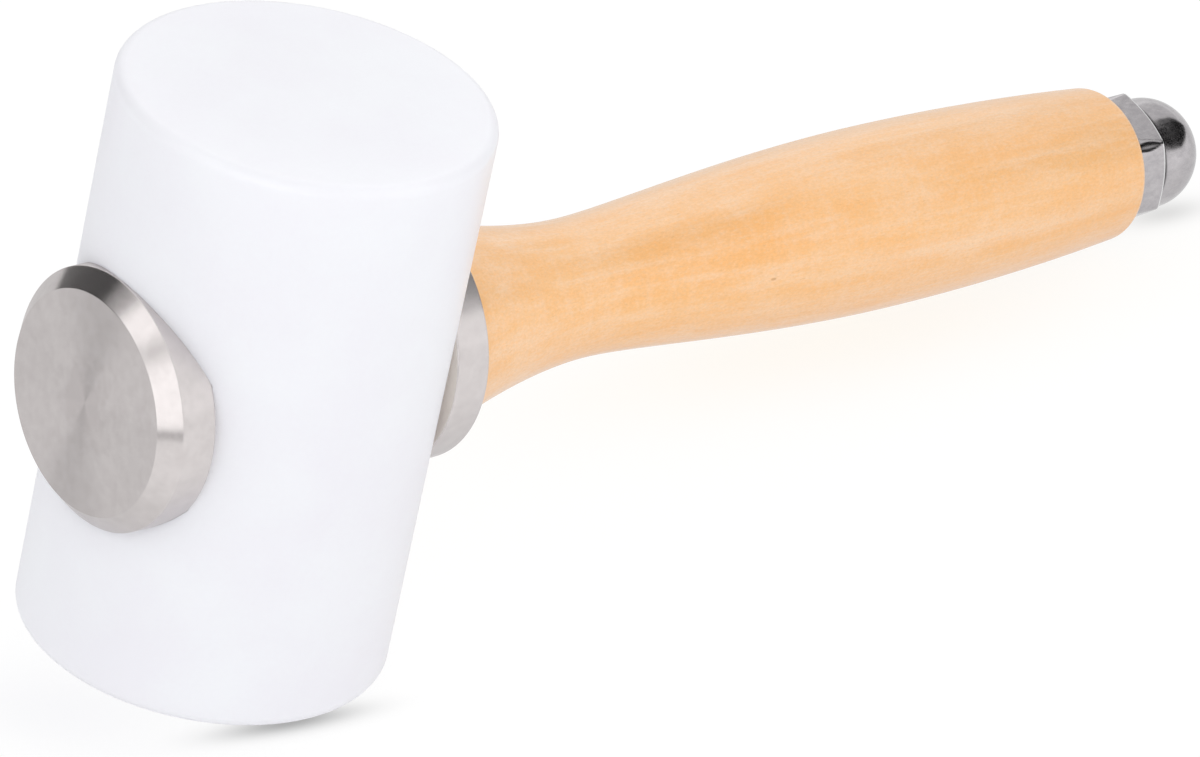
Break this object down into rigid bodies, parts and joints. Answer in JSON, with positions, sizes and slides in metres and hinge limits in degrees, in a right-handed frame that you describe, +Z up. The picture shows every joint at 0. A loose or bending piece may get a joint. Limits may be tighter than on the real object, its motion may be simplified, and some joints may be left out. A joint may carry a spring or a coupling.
{
  "type": "leather carving mallet",
  "caption": "Carving mallet with a nylon cylinder head clamped by a steel cap, a collar and a stud to a turned wooden handle, closed by an acorn nut.",
  "frame": {"origin": "on the ground under the middle of the box round the whole tool, as it lies on a bench on the head's lower rim and the nut", "axes": "+Z up from the ground; +X from the head towards the butt, as seen from above; +Y across the tool"},
  "size_m": [0.197, 0.05, 0.0898],
  "materials": {
    "nylon": "satin white nylon, turned smooth",
    "turned_steel": "stainless steel with fine turning marks",
    "stud_steel": "plain zinc-grey stud",
    "wood": "light hardwood, satin lacquer",
    "nut_steel": "stainless steel, softly polished"
  },
  "bodies": {
    "root": {"nylon_head": "nylon", "front_cap": "turned_steel", "rear_collar": "turned_steel", "through_rod": "stud_steel", "wood_handle": "wood", "acorn_nut": "nut_steel"}
  },
  "joints": []
}
